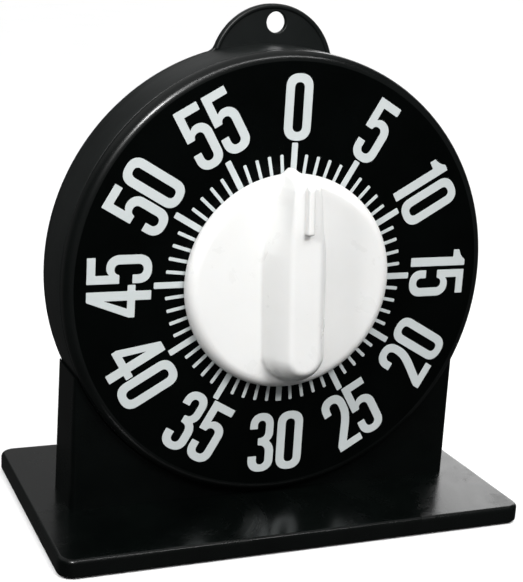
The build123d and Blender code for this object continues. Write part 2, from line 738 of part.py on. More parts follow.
esc_phase = pal_dir - 30.0 + 6.0
with BuildPart() as escape_wheel:
    pts = []
    for k in range(esc_teeth):
        a = math.radians(esc_phase + k * 360.0 / esc_teeth)
        p = 2 * math.pi / esc_teeth
        for da, rr in ((-0.10 * p, esc_r * 0.74), (0.0, esc_r), (0.10 * p, esc_r), (0.42 * p, esc_r * 0.74)):
            pts.append((A4[0] + rr * math.cos(a + da), A4[1] + rr * math.sin(a + da)))
    with BuildSketch(front_plane(ew_y1)):
        with BuildLine():
            Polyline(*pts, close=True)
        make_face()
        with Locations(A4):
            Circle(1.0, mode=Mode.SUBTRACT)
            with PolarLocations(3.3, 4):
                Circle(1.1, mode=Mode.SUBTRACT)
    extrude(amount=ew_y1 - ew_y0)
save(escape_wheel.part, "escape_wheel")

# pallet lever with two pins over the escape wheel, and a tail weight
pin_r = 0.35
pins = [(A4[0] + 8.05 * math.cos(math.radians(pal_dir + s * 30.0)), A4[1] + 8.05 * math.sin(math.radians(pal_dir + s * 30.0)))
        for s in (-1, 1)]
with BuildPart() as pallet_lever:
    with BuildSketch(front_plane(20.1)):
        for q in pins:
            mid = ((q[0] + A5[0]) / 2, (q[1] + A5[1]) / 2)
            ang = math.degrees(math.atan2(q[1] - A5[1], q[0] - A5[0]))
            ln = math.hypot(q[0] - A5[0], q[1] - A5[1])
            with Locations(Location((mid[0], mid[1], 0), (0, 0, ang))):
                SlotOverall(ln + 2.0, 1.6)
        tail = (A5[0] + 3.4 * math.cos(math.radians(pal_dir)), A5[1] + 3.4 * math.sin(math.radians(pal_dir)))
        with Locations(Location(((A5[0] + tail[0]) / 2, (A5[1] + tail[1]) / 2, 0), (0, 0, pal_dir))):
            SlotOverall(6.4, 2.4)
        with Locations(A5):
            Circle(2.2)
            Circle(0.9, mode=Mode.SUBTRACT)
    extrude(amount=0.9)
    with BuildSketch(front_plane(19.3)):
        with Locations(*pins):
            Circle(pin_r)
    extrude(amount=2.0)
save(pallet_lever.part, "pallet_lever")

# ------------------------------------------------------------------
# Mainspring: flat spiral round the arbor, hooked on its post
# ------------------------------------------------------------------
sp_y0, sp_y1 = 8.6, 13.8
sp_t = 0.4
turns = 7


def spiral(off):
    out = []
    steps = turns * 20
    for k in range(steps + 1):
        t = k / steps
        a = math.radians(sp_end) - 2 * math.pi * turns * (1 - t)
        rr = sp_r0 + (sp_r1 - 1.3 - sp_r0) * t + off
        out.append((rr * math.cos(a), rr * math.sin(a)))
    return out


with BuildPart() as mainspring:
    with BuildSketch(front_plane(sp_y1)):
        with BuildLine():
            Polyline(*(spiral(sp_t / 2) + list(reversed(spiral(-sp_t / 2)))), close=True)
        make_face()
        with Locations(post_c):
            Circle(1.65)
            Circle(1.25, mode=Mode.SUBTRACT)
    extrude(amount=sp_y1 - sp_y0)
save(mainspring.part, "mainspring")

with BuildPart() as spring_post:
    with BuildSketch(shifted_half_plane(post_c)):
        with BuildLine():
            Polyline((0, fp_y0 - 0.3), (0.9, fp_y0 - 0.3), (0.9, fp_y1), (1.25, fp_y1), (1.25, sp_y1 + 0.3),
                     (0, sp_y1 + 0.3), close=True)
        make_face()
    revolve(axis=axis_at(post_c))
save(spring_post.part, "spring_post")

# ------------------------------------------------------------------
# Bell, its post and screw, hammer and its spring
# ------------------------------------------------------------------
bell_y0, bell_y1 = 9.0, 17.0
with BuildPart() as bell:
    with BuildSketch(shifted_half_plane(bell_c)):
        with BuildLine():
            Polyline((1.6, bell_y0), (8.0, bell_y0))
            Spline((8.0, bell_y0), (18.5, bell_y0 + 2.2), (bell_r, bell_y1), tangents=[(1, 0), (0.25, 1)])
            Line((bell_r, bell_y1), (bell_r - 1.1, bell_y1))
            Spline((bell_r - 1.1, bell_y1), (17.9, bell_y0 + 3.2), (8.0, bell_y0 + 1.1), tangents=[(-0.25, -1), (-1, 0)])
            Polyline((8.0, bell_y0 + 1.1), (1.6, bell_y0 + 1.1), (1.6, bell_y0))
        make_face()
    revolve(axis=axis_at(bell_c))
save(bell.part, "bell")

with BuildPart() as bell_post:
    with BuildSketch(shifted_half_plane(bell_c)):
        with BuildLine():
            Polyline((1.25, cap_wall - 0.2), (bell_post_r, cap_wall - 0.2), (bell_post_r, bell_y0), (1.6, bell_y0),
                     (1.6, bell_y0 + 1.1), (1.25, bell_y0 + 1.1), close=True)
        make_face()
    revolve(axis=axis_at(bell_c))
save(bell_post.part, "bell_post")

with BuildPart() as bell_screw:
    with BuildSketch(shifted_half_plane(bell_c)):
        with BuildLine():
            Polyline((0, 3.2), (1.25, 3.2), (1.25, bell_y0 + 1.1), (3.2, bell_y0 + 1.1), (3.2, bell_y0 + 2.3),
                     (2.6, bell_y0 + 2.9), (0, bell_y0 + 2.9), close=True)
        make_face()
    revolve(axis=axis_at(bell_c))
    with BuildSketch(front_plane(bell_y0 + 3.0)):
        with Locations(bell_c):
            Rectangle(7, 0.7)
    extrude(amount=0.9, mode=Mode.SUBTRACT)
save(bell_screw.part, "bell_screw")

finger = (0.4, -cam_r - 0.9)
with BuildPart() as hammer_lever:
    with BuildSketch(front_plane(cam_y1)):
        for q, wdt in ((finger, 2.0), (ham_head, 2.4)):
            mid = ((q[0] + ham_c[0]) / 2, (q[1] + ham_c[1]) / 2)
            ang = math.degrees(math.atan2(q[1] - ham_c[1], q[0] - ham_c[0]))
            ln = math.hypot(q[0] - ham_c[0], q[1] - ham_c[1])
            with Locations(Location((mid[0], mid[1], 0), (0, 0, ang))):
                SlotOverall(ln + wdt, wdt)
        with Locations(ham_c):
            Circle(2.6)
            Circle(1.2, mode=Mode.SUBTRACT)
        # keep the finger clear of the cam at every setting
        Circle(cam_r + 0.3, mode=Mode.SUBTRACT)
    extrude(amount=cam_y1 - cam_y0)
save(hammer_lever.part, "hammer_lever")

with BuildPart() as hammer_head:
    with BuildSketch(shifted_half_plane(ham_head)):
        with BuildLine():
            Polyline((0, 14.6), (2.4, 14.6), (3.0, 15.2), (3.0, 18.6), (2.4, cam_y0), (0, cam_y0), close=True)
        make_face()
    revolve(axis=axis_at(ham_head))
save(hammer_head.part, "hammer_head")

# wound spring round the hammer arbor
with BuildPart() as hammer_spring:
    with BuildLine() as wire:
        Helix(pitch=0.9, height=4.5, radius=1.9, center=(ham_c[0], y_dial + 10.0, axis_h + ham_c[1]), direction=(0, 1, 0))
    with BuildSketch(Plane(origin=wire.line @ 0, z_dir=wire.line % 0)):
        Circle(0.25)
    sweep(is_frenet=True)
save(hammer_spring.part, "hammer_spring")
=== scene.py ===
import json
import math

import bmesh
import bpy
import numpy as np
from mathutils import Matrix, Vector, geometry


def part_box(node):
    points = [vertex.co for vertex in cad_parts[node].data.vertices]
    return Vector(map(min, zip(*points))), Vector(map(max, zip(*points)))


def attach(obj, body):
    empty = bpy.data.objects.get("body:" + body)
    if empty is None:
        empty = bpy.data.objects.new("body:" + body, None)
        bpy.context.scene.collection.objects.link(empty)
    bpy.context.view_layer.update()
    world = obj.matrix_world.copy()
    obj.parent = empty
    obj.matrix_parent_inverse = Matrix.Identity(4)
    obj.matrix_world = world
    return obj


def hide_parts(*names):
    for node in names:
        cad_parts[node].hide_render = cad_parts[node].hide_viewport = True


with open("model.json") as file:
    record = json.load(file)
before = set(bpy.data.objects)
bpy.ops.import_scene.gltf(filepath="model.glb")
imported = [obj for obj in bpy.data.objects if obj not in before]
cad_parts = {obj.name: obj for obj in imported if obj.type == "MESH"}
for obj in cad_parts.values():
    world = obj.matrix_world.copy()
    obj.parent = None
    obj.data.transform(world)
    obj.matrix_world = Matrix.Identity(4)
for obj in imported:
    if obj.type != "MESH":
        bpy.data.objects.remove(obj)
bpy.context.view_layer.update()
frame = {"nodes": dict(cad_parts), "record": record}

MM = 0.001
ROOT = "housing"

# ---------------------------------------------------------------- places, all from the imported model
cap_lo, cap_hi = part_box("front_cap")
drum_lo, drum_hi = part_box("drum_shell")
cover_lo, cover_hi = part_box("rear_cover")
base_lo, base_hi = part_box("base_plate")
up_lo, up_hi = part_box("stand_upright")
knob_lo, knob_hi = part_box("knob")

DIAL_Y = cap_lo[1]                              # the dial face
AX_X = (cap_lo[0] + cap_hi[0]) / 2
AX_Z = (cap_lo[2] + cap_hi[2]) / 2              # the dial's axis
CAP_R = (cap_hi[0] - cap_lo[0]) / 2 / MM        # mm
DRUM_R = (drum_hi[0] - drum_lo[0]) / 2 / MM


def P(x, z, d=0.0):
    """A point of the dial: x to the right, z up from the dial's axis, d behind its face, all in mm."""
    return Vector((AX_X + x * MM, DIAL_Y + d * MM, AX_Z + z * MM))


# ---------------------------------------------------------------- materials
def tree(name):
    m = bpy.data.materials.new(name)
    m.use_nodes = True
    nt = m.node_tree
    nt.nodes.clear()
    out = nt.nodes.new("ShaderNodeOutputMaterial")
    b = nt.nodes.new("ShaderNodeBsdfPrincipled")
    nt.links.new(b.outputs["BSDF"], out.inputs["Surface"])
    co = nt.nodes.new("ShaderNodeTexCoord")
    return m, nt, b, co


def noise(nt, co, scale, detail=4.0, rough=0.55, dist=0.0, stretch=None):
    n = nt.nodes.new("ShaderNodeTexNoise")
    n.inputs["Scale"].default_value = scale
    n.inputs["Detail"].default_value = detail
    n.inputs["Roughness"].default_value = rough
    n.inputs["Distortion"].default_value = dist
    if stretch:
        mp = nt.nodes.new("ShaderNodeMapping")
        mp.inputs["Scale"].default_value = stretch
        nt.links.new(co.outputs["Object"], mp.inputs["Vector"])
        nt.links.new(mp.outputs["Vector"], n.inputs["Vector"])
    else:
        nt.links.new(co.outputs["Object"], n.inputs["Vector"])
    return n


def ramp(nt, src, stops):
    r = nt.nodes.new("ShaderNodeValToRGB")
    els = r.color_ramp.elements
    while len(els) > 2:
        els.remove(els[-1])
    for i, (pos, val) in enumerate(stops):
        e = els[i] if i < 2 else els.new(pos)
        e.position = pos
        c = val if isinstance(val, (tuple, list)) else (val, val, val)
        e.color = (*c[:3], 1.0)
    nt.links.new(src, r.inputs["Fac"])
    return r


def bump(nt, b, src, dist, strength=1.0, prev=None):
    n = nt.nodes.new("ShaderNodeBump")
    n.inputs["Distance"].default_value = dist
    n.inputs["Strength"].default_value = strength
    nt.links.new(src, n.inputs["Height"])
    if prev is not None:
        nt.links.new(prev.outputs["Normal"], n.inputs["Normal"])
    nt.links.new(n.outputs["Normal"], b.inputs["Normal"])
    return n


def plastic(name, dark, light, rough, rough_var, level, peel=(900.0, 4e-6), wave=None, specks=0.0, scratches=False, ior=1.5):
    m, nt, b, co = tree(name)
    b.inputs["IOR"].default_value = ior
    b.inputs["Specular IOR Level"].default_value = level
    n = noise(nt, co, 38.0, 6.0, 0.6)
    c = ramp(nt, n.outputs["Fac"], [(0.3, dark), (0.7, light)])
    colour = c.outputs["Color"]
    if specks:
        v = nt.nodes.new("ShaderNodeTexVoronoi")
        v.feature = "F1"
        v.inputs["Scale"].default_value = 60.0
        v.inputs["Randomness"].default_value = 1.0
        nt.links.new(co.outputs["Object"], v.inputs["Vector"])
        r = ramp(nt, v.outputs["Distance"], [(0.0, 1.0), (0.022, 0.0)])
        gate = noise(nt, co, 31.0, 2.0)
        g = ramp(nt, gate.outputs["Fac"], [(0.60, 0.0), (0.64, specks)])
        mul = nt.nodes.new("ShaderNodeMath"); mul.operation = "MULTIPLY"
        nt.links.new(r.outputs["Color"], mul.inputs[0]); nt.links.new(g.outputs["Color"], mul.inputs[1])
        mix = nt.nodes.new("ShaderNodeMix"); mix.data_type = "RGBA"
        nt.links.new(mul.outputs["Value"], mix.inputs["Factor"])
        nt.links.new(colour, mix.inputs["A"])
        mix.inputs["B"].default_value = (0.30, 0.31, 0.31, 1.0)
        colour = mix.outputs["Result"]
    nt.links.new(colour, b.inputs["Base Color"])
    s = noise(nt, co, 24.0, 8.0, 0.65, 0.6)
    rr = ramp(nt, s.outputs["Fac"], [(0.32, max(0.02, rough - rough_var)), (0.72, rough + rough_var)])
    rough_out = rr.outputs["Color"]
    if scratches:
        sc = noise(nt, co, 13.0, 9.0, 0.72, 2.2)
        sr = ramp(nt, sc.outputs["Fac"], [(0.50, 0.0), (0.62, 0.13)])
        add = nt.nodes.new("ShaderNodeMath"); add.operation = "ADD"
        nt.links.new(rough_out, add.inputs[0]); nt.links.new(sr.outputs["Color"], add.inputs[1])
        rough_out = add.outputs["Value"]
    nt.links.new(rough_out, b.inputs["Roughness"])
    p = noise(nt, co, peel[0], 3.0, 0.5)
    bp = bump(nt, b, p.outputs["Fac"], peel[1])
    if wave:
        w = noise(nt, co, wave[0], 2.0, 0.45, 0.4)
        bp = bump(nt, b, w.outputs["Fac"], wave[1], 1.0, bp)
    return m


def metal(name, c0, c1, rough, grain=(1.0, 1.0, 1.0), scale=900.0, amount=6e-6, tarnish=0.25):
    m, nt, b, co = tree(name)
    b.inputs["Metallic"].default_value = 1.0
    n = noise(nt, co, 90.0, 6.0, 0.6)
    c = ramp(nt, n.outputs["Fac"], [(0.35, c0), (0.7, c1)])
    nt.links.new(c.outputs["Color"], b.inputs["Base Color"])
    g = noise(nt, co, scale, 3.0, 0.5, 0.0, grain)
    r = ramp(nt, g.outputs["Fac"], [(0.3, max(0.03, rough * (1 - tarnish))), (0.7, rough * (1 + tarnish))])
    nt.links.new(r.outputs["Color"], b.inputs["Roughness"])
    bump(nt, b, g.outputs["Fac"], amount)
    return m


MAT = {}
MAT["dial"] = plastic("dial_rim_black", (0.0020, 0.0026, 0.0025), (0.0034, 0.0042, 0.0040), 0.24, 0.04, 0.5, (520.0, 3e-6), (16.0, 3e-5))
MAT["face"] = plastic("dial_face_black", (0.0007, 0.0010, 0.0009), (0.0013, 0.0018, 0.0017), 0.24, 0.05, 0.05, (520.0, 3e-6), (16.0, 3e-5), specks=0.35)
MAT["drum"] = plastic("drum_satin_black", (0.0040, 0.0050, 0.0048), (0.0075, 0.0090, 0.0088), 0.40, 0.05, 0.42, (2600.0, 1.6e-5))
MAT["upright"] = plastic("upright_black", (0.0012, 0.0016, 0.0015), (0.0026, 0.0034, 0.0032), 0.26, 0.05, 0.12, (1300.0, 6e-6), (14.0, 4e-5))
MAT["base"] = plastic("base_gloss_black", (0.0006, 0.0010, 0.0009), (0.0018, 0.0026, 0.0023), 0.21, 0.07, 0.44, (700.0, 6e-6), (24.0, 1.6e-4), specks=0.35, scratches=True)
MAT["ink"] = plastic("numeral_ink", (0.540, 0.578, 0.578), (0.594, 0.632, 0.632), 0.42, 0.06, 0.3, (1500.0, 5e-6))


def knob_material():
    m, nt, b, co = tree("knob_white")
    b.inputs["IOR"].default_value = 1.5
    b.inputs["Specular IOR Level"].default_value = 0.42
    b.inputs["Subsurface Weight"].default_value = 0.12
    b.inputs["Subsurface Radius"].default_value = (1.0, 0.9, 0.8)
    b.inputs["Subsurface Scale"].default_value = 0.0015
    n = noise(nt, co, 30.0, 6.0, 0.6)
    c = ramp(nt, n.outputs["Fac"], [(0.3, (0.84, 0.84, 0.825)), (0.7, (0.87, 0.87, 0.86))])
    nt.links.new(c.outputs["Color"], b.inputs["Base Color"])
    s = noise(nt, co, 45.0, 7.0, 0.6, 0.5)
    r = ramp(nt, s.outputs["Fac"], [(0.3, 0.25), (0.75, 0.36)])
    nt.links.new(r.outputs["Color"], b.inputs["Roughness"])
    p = noise(nt, co, 800.0, 3.0, 0.5)
    bp = bump(nt, b, p.outputs["Fac"], 4e-6)
    w = noise(nt, co, 30.0, 2.0, 0.4)
    bump(nt, b, w.outputs["Fac"], 4e-5, 1.0, bp)
    return m


def rubber_material():
    m, nt, b, co = tree("foot_rubber")
    b.inputs["Specular IOR Level"].default_value = 0.3
    n = noise(nt, co, 420.0, 5.0, 0.7)
    c = ramp(nt, n.outputs["Fac"], [(0.3, (0.012, 0.012, 0.012)), (0.75, (0.026, 0.026, 0.025))])
    nt.links.new(c.outputs["Color"], b.inputs["Base Color"])
    r = ramp(nt, n.outputs["Fac"], [(0.2, 0.68), (0.8, 0.88)])
    nt.links.new(r.outputs["Color"], b.inputs["Roughness"])
    bump(nt, b, n.outputs["Fac"], 5e-5)
    return m


MAT["knob"] = knob_material()
MAT["rubber"] = rubber_material()
MAT["steel"] = metal("steel_bright", (0.50, 0.50, 0.51), (0.62, 0.62, 0.63), 0.28, (1.0, 24.0, 1.0))
MAT["spring"] = metal("spring_blued", (0.06, 0.08, 0.17), (0.12, 0.14, 0.24), 0.24, (1.0, 30.0, 1.0))
MAT["brass"] = metal("clock_brass", (0.68, 0.47, 0.17), (0.78, 0.57, 0.25), 0.26, (22.0, 1.0, 1.0))
MAT["bell"] = metal("bell_nickel", (0.62, 0.61, 0.59), (0.72, 0.71, 0.69), 0.12, (1.0, 18.0, 1.0), 700.0, 3e-6)

SLOT = {"knob": "knob", "dial": "dial", "drum": "drum", "base": "base", "rubber": "rubber", "steel": "steel",
        "spring_steel": "spring", "brass": "brass", "bell_metal": "bell"}
slot_of = {s["node"]: s["material_slot"] for s in frame["record"]["subparts"]}
for node, ob in frame["nodes"].items():
    mat = MAT[SLOT[slot_of[node]]]
    if node == "stand_upright":
        mat = MAT["upright"]
    if ob.data.materials:
        for i in range(len(ob.material_slots)):
            ob.material_slots[i].material = mat
    else:
        ob.data.materials.append(mat)


# ---------------------------------------------------------------- mesh helpers
def make(name, verts, faces, mat, body=ROOT, sharp=35.0, node=None):
    me = bpy.data.meshes.new(name)
    me.from_pydata([tuple(v) for v in verts], [], [tuple(int(i) for i in f) for f in faces])
    me.update()
    bm = bmesh.new()
    bm.from_mesh(me)
    bmesh.ops.remove_doubles(bm, verts=bm.verts, dist=2e-7)
    bmesh.ops.dissolve_degenerate(bm, edges=bm.edges, dist=1e-8)
    bmesh.ops.recalc_face_normals(bm, faces=bm.faces)
    bm.to_mesh(me)
    bm.free()
    me.polygons.foreach_set("use_smooth", [True] * len(me.polygons))
    if sharp:
        me.set_sharp_from_angle(angle=math.radians(sharp))
    ob = bpy.data.objects.new(name, me)
    bpy.context.scene.collection.objects.link(ob)
    me.materials.append(mat)
    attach(ob, body)
    if node:
        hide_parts(node)
    return ob


def harden(ob):
    """Keeps the flats flat beside rounded edges."""
    m = ob.modifiers.new("normals", "WEIGHTED_NORMAL")
    m.keep_sharp = True
    m.weight = 50
    deps = bpy.context.evaluated_depsgraph_get()
    me = bpy.data.meshes.new_from_object(ob.evaluated_get(deps))
    ob.modifiers.clear()
    old, ob.data = ob.data, me
    name = old.name
    bpy.data.meshes.remove(old)
    me.name = name
    return ob


def arc(cx, cy, rx, ry, a0, a1, n, p=2.0):
    """Points of an elliptical arc, or with p over 2 a squarer one, from a0 to a1 degrees."""
    out = []
    for k in range(n + 1):
        a = math.radians(a0 + (a1 - a0) * k / n)
        c, s = math.cos(a), math.sin(a)
        out.append((cx + rx * math.copysign(abs(c) ** (2 / p), c), cy + ry * math.copysign(abs(s) ** (2 / p), s)))
    return out


def lathe(profile, n=360):
    """Turns a closed profile of (radius, depth) in mm round the dial's axis."""
    verts, faces = [], []
    m = len(profile)
    for k in range(n):
        a = 2 * math.pi * k / n
        for r, d in profile:
            verts.append(P(r * math.sin(a), r * math.cos(a), d))
    for k in range(n):
        k2 = (k + 1) % n
        for i in range(m):
            j = (i + 1) % m
            faces.append((k * m + i, k * m + j, k2 * m + j, k2 * m + i))
    return verts, faces


def area2(pts):
    return 0.5 * sum(pts[i][0] * pts[(i + 1) % len(pts)][1] - pts[(i + 1) % len(pts)][0] * pts[i][1] for i in range(len(pts)))


def offset(pts, d):
    """Moves a closed outline's points inwards by d for a counter-clockwise outline."""
    n = len(pts)
    out = []
    for i in range(n):
        p0, p1, p2 = pts[i - 1], pts[i], pts[(i + 1) % n]
        e1 = (p1[0] - p0[0], p1[1] - p0[1]); e2 = (p2[0] - p1[0], p2[1] - p1[1])
        l1 = math.hypot(*e1) or 1e-9; l2 = math.hypot(*e2) or 1e-9
        n1 = (-e1[1] / l1, e1[0] / l1); n2 = (-e2[1] / l2, e2[0] / l2)
        bx, by = n1[0] + n2[0], n1[1] + n2[1]
        q = bx * bx + by * by
        if q < 1e-9:
            bx, by, q = n1[0], n1[1], 1.0
            k = 1.0
        else:
            k = min(2.0 / q, 2.5)
        out.append((p1[0] + bx * k * d, p1[1] + by * k * d))
    return out


def slab(outer, holes, to3, d0, d1, edge=0.4, steps=3):
    """A plate from outlines in mm, between depths d0 and d1, with rounded edges. to3 maps (u, v, depth) to space."""
    loops = [outer if area2(outer) > 0 else outer[::-1]] + [h if area2(h) < 0 else h[::-1] for h in holes]
    prof = []
    for k in range(steps + 1):
        a = math.pi / 2 * k / steps
        prof.append((edge * (1 - math.sin(a)), d0 + edge * (1 - math.cos(a))))
    prof += [(p, d0 + d1 - d) for p, d in reversed(prof)]
    verts, faces, caps = [], [], []
    for loop in loops:
        rings = []
        for inset, d in prof:
            pts = offset(loop, inset) if inset > 1e-6 else loop
            start = len(verts)
            verts += [to3(u, v, d) for u, v in pts]
            rings.append((start, pts))
        n = len(loop)
        for (a, _), (b, _) in zip(rings, rings[1:]):
            for i in range(n):
                j = (i + 1) % n
                faces.append((a + i, a + j, b + j, b + i))
        caps.append((rings[0], rings[-1]))
    for side in (0, 1):
        polys = [[Vector((u, v, 0)) for u, v in c[side][1]] for c in caps]
        index = [c[side][0] + i for c in caps for i in range(len(c[side][1]))]
        for t in geometry.tessellate_polygon(polys):
            f = [index[i] for i in t]
            faces.append(f if side else f[::-1])
    return verts, faces


def soften(pts, r, n=3, min_turn=22.0):
    """Rounds the corners of a closed outline by about r."""
    out = []
    m = len(pts)
    for i in range(m):
        p0, p1, p2 = pts[i - 1], pts[i], pts[(i + 1) % m]
        a = (p0[0] - p1[0], p0[1] - p1[1]); b = (p2[0] - p1[0], p2[1] - p1[1])
        la, lb = math.hypot(*a), math.hypot(*b)
        if la < 1e-9 or lb < 1e-9:
            continue
        turn = math.degrees(math.acos(max(-1, min(1, -(a[0] * b[0] + a[1] * b[1]) / la / lb))))
        if turn < min_turn:
            out.append(p1)
            continue
        t = min(r, la * 0.45, lb * 0.45)
        q0 = (p1[0] + a[0] / la * t, p1[1] + a[1] / la * t)
        q2 = (p1[0] + b[0] / lb * t, p1[1] + b[1] / lb * t)
        for k in range(n + 1):
            s = k / n
            out.append(tuple((1 - s) ** 2 * q0[c] + 2 * s * (1 - s) * p1[c] + s * s * q2[c] for c in (0, 1)))
    return out


# ---------------------------------------------------------------- camera
cam_data = bpy.data.cameras.new("camera")
cam = bpy.data.objects.new("camera", cam_data)
bpy.context.scene.collection.objects.link(cam)
cam_data.sensor_fit = "AUTO"
cam_data.sensor_width = 36.0
cam_data.lens = 1285.875 / 582.0 * 36.0
right = Vector((0.924433, -0.376706, 0.059305))
down = Vector((-0.041224, -0.253320, -0.966504))
ahead = Vector((0.379111, 0.891023, -0.249706))
rot = Matrix((right, -down, -ahead)).transposed()
cam.matrix_world = Matrix.Translation(P(-193.024, 116.929, -430.600)) @ rot.to_4x4()
cam_data.clip_start = 0.01
cam_data.clip_end = 20.0
bpy.context.scene.camera = cam

# ---------------------------------------------------------------- housing: cap, drum, cover
SKIRT = (cap_hi[1] - cap_lo[1]) / MM            # with the spigot
edge = 4.0
cap = [(6.0, 1.2), (6.0, 0.25)] + arc(6.25, 0.25, 0.25, 0.25, 180, 270, 3)[1:]
cap += [(r, 0.0) for r in (10, 25, 45, 65, 76)]
cap += [(CAP_R - edge + edge * math.sin(math.radians(a)), edge - edge * math.cos(math.radians(a))) for a in np.linspace(0, 90, 19)]
cap += [(CAP_R, 4.45), (CAP_R - 0.04, 4.62), (CAP_R - 0.14, 4.76), (CAP_R - 0.3, 4.8), (82.6, 4.8), (82.6, 8.9), (80.4, 9.0), (80.4, 2.5), (60, 2.5), (30, 2.5), (6.0, 2.5)]
v, f = lathe(cap, 384)
cap_ob = make("dial_cap", v, f, MAT["dial"], node="front_cap", sharp=40)
cap_ob.data.materials.append(MAT["face"])
for poly in cap_ob.data.polygons:
    c = poly.center
    if c.y - DIAL_Y < 0.02 * MM:
        poly.material_index = 1

D0 = (drum_lo[1] - DIAL_Y) / MM
D1 = (drum_hi[1] - DIAL_Y) / MM
R0 = DRUM_R - 0.30
wall = [(R0 - 3.0, D0 + 0.15), (R0 - 0.35, D0 + 0.15)] + [(R0 - 0.35 + 0.35 * math.sin(math.radians(a)), D0 + 0.5 - 0.35 * math.cos(math.radians(a))) for a in (22.5, 45, 67.5, 90)]
wall += [(R0 + 0.10, D0 + 8), (R0 + 0.2, D0 + 15), (DRUM_R, D1 - 0.25), (DRUM_R - 0.08, D1 - 0.06), (DRUM_R - 0.25, D1), (DRUM_R - 3.0, D1)]
v, f = lathe(wall, 384)
# screw pillars inside the wall
boss_r, boss_d0 = 3.4, D0 + 4.35
for a in (45, 135, 225, 315):
    cx, cz = 76.2 * math.cos(math.radians(a)), 76.2 * math.sin(math.radians(a))
    ring = []
    web = 2.0
    ux, uz = math.cos(math.radians(a)), math.sin(math.radians(a))
    pts = []
    for t in np.linspace(math.asin(web / boss_r), 2 * math.pi - math.asin(web / boss_r), 28):
        pts.append((boss_r * math.cos(t), boss_r * math.sin(t)))
    pts += [(8.0, -web), (8.0, web)]
    pts = [(cx + p * ux - q * uz, cz + p * uz + q * ux) for p, q in pts]
    sv, sf = slab(pts, [[(cx + 1.25 * math.cos(t), cz + 1.25 * math.sin(t)) for t in np.linspace(0, 2 * math.pi, 24, endpoint=False)]],
                  lambda u, w, d: P(u, w, d), boss_d0, D1, 0.2, 2)
    k = len(v)
    v += sv
    f += [tuple(i + k for i in q) for q in sf]
make("drum_wall", v, f, MAT["drum"], node="drum_shell", sharp=40)

C0 = (cover_hi[1] - DIAL_Y) / MM - 2.5
C1 = (cover_hi[1] - DIAL_Y) / MM
LUG_Z = (cover_hi[2] - AX_Z) / MM - 25.0
LUG_R = 25.0
fil = 4.0
# outline of disc and lug with their fillet
dd = LUG_Z
rr1, rr2 = DRUM_R + fil, LUG_R + fil
az = (rr1 ** 2 - rr2 ** 2 + dd ** 2) / (2 * dd)
ax = math.sqrt(rr1 ** 2 - az ** 2)
a_disc = math.degrees(math.atan2(az, ax))
a_lug = math.degrees(math.atan2(az - dd, ax))
out = arc(0, 0, DRUM_R, DRUM_R, 180 - a_disc, 360 + a_disc, 300)
back_a = math.degrees(math.atan2(-az, -ax)); back_b = math.degrees(math.atan2(dd - az, -ax))
out += arc(ax, az, fil, fil, back_a % 360, back_b % 360, 10)[1:]
out += arc(0, dd, LUG_R, LUG_R, a_lug, 180 - a_lug, 90)[1:]
out += arc(-ax, az, fil, fil, (180 - back_b) % 360 - 360, (180 - back_a) % 360 - 360, 10)[1:-1]
turn = math.atan2(0.7, LUG_Z)               # the lug sits a little off the axis


def swing(x, z):
    return x * math.cos(turn) + z * math.sin(turn), -x * math.sin(turn) + z * math.cos(turn)


out = [swing(x, z) for x, z in out]
hang = next(m for m in frame["record"]["mounts"] if m["name"] == "hanging_hole")
hole_r = hang["dims"]["r_mm"]
hole = arc((hang["pos_m"][0] - AX_X) / MM, (hang["pos_m"][2] - AX_Z) / MM, hole_r, hole_r, 0, 360, 48)[:-1]
holes = [hole]
for a in (45, 135, 225, 315):
    holes.append(arc(76.2 * math.cos(math.radians(a)), 76.2 * math.sin(math.radians(a)), 1.7, 1.7, 0, 360, 24)[:-1])
for k in range(5):
    x = (k - 2) * 5.0
    s = arc(x, -53.0 + 9.9, 1.1, 1.1, 0, 180, 10) + arc(x, -53.0 - 9.9, 1.1, 1.1, 180, 360, 10)
    holes.append(s)
v, f = slab(out, holes, lambda u, w, d: P(u, w, d), C0, C1, 0.45, 4)
# bead round the lug
bead_r = LUG_R - 0.95
seg = 120
a0, a1 = math.degrees(math.atan2(az - dd + 1.0, ax)) - 4, 184 - math.degrees(math.atan2(az - dd + 1.0, ax))
prof = [(0.95 * math.cos(t), 0.85 * math.sin(t)) for t in np.linspace(0, math.pi, 11)]
k = len(v)
for i in range(seg + 1):
    a = math.radians(a0 + (a1 - a0) * i / seg)
    for w, h in prof:
        r = bead_r + w
        v.append(P(*swing(r * math.cos(a), dd + r * math.sin(a)), C0 + 0.12 - h))
m = len(prof)
for i in range(seg):
    for j in range(m - 1):
        f.append((k + i * m + j, k + i * m + j + 1, k + (i + 1) * m + j + 1, k + (i + 1) * m + j))
    f.append((k + i * m + m - 1, k + i * m, k + (i + 1) * m, k + (i + 1) * m + m - 1))
f.append(tuple(k + j for j in range(m)))
f.append(tuple(k + seg * m + j for j in reversed(range(m))))
harden(make("rear_plate_with_lug", v, f, MAT["drum"], node="rear_cover", sharp=40))

# ---------------------------------------------------------------- base slab
def rounded_rect(hx, hy, r, n=12):
    return (arc(hx - r, hy - r, r, r, 0, 90, n) + arc(-hx + r, hy - r, r, r, 90, 180, n)
            + arc(-hx + r, -hy + r, r, r, 180, 270, n) + arc(hx - r, -hy + r, r, r, 270, 360, n))


